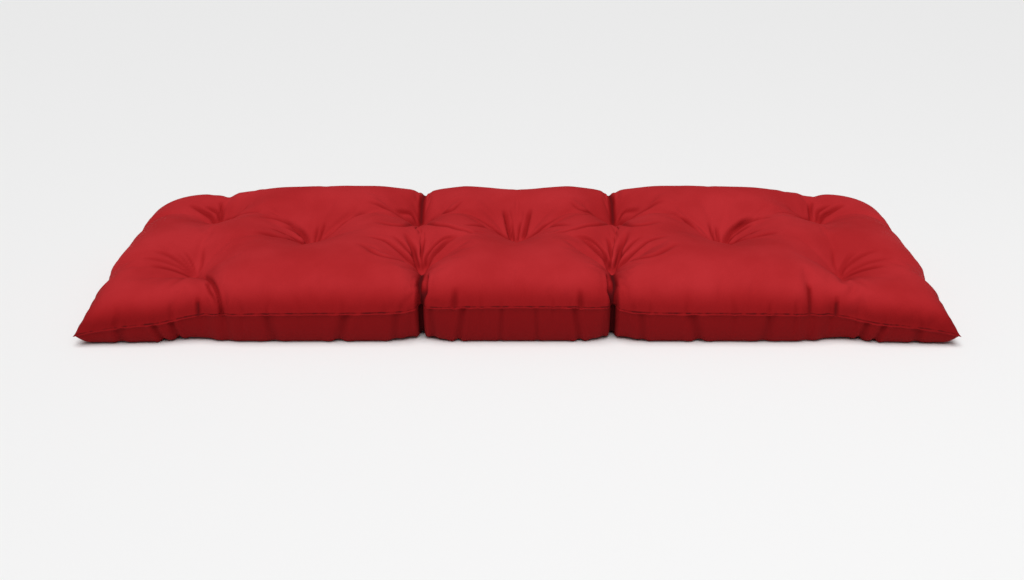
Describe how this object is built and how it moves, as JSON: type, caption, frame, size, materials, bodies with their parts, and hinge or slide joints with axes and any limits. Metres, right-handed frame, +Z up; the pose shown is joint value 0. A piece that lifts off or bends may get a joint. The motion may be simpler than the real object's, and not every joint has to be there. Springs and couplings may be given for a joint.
{
  "type": "bench cushion",
  "caption": "Long stuffed bench cushion in plain red cloth, knife-edge seam all round, tufted with threads and no buttons, lying flat on its underside.",
  "frame": {"origin": "middle of the length and depth, at the height of the surface on which the cushion lies", "axes": "+X along the length, +Y from the front edge to the back edge, +Z up"},
  "size_m": [1.4992, 0.4998, 0.1522],
  "materials": {
    "red_cloth": "plain woven cotton blend, matt with a faint sheen"
  },
  "bodies": {
    "root": {"cushion": "red_cloth"}
  },
  "joints": []
}
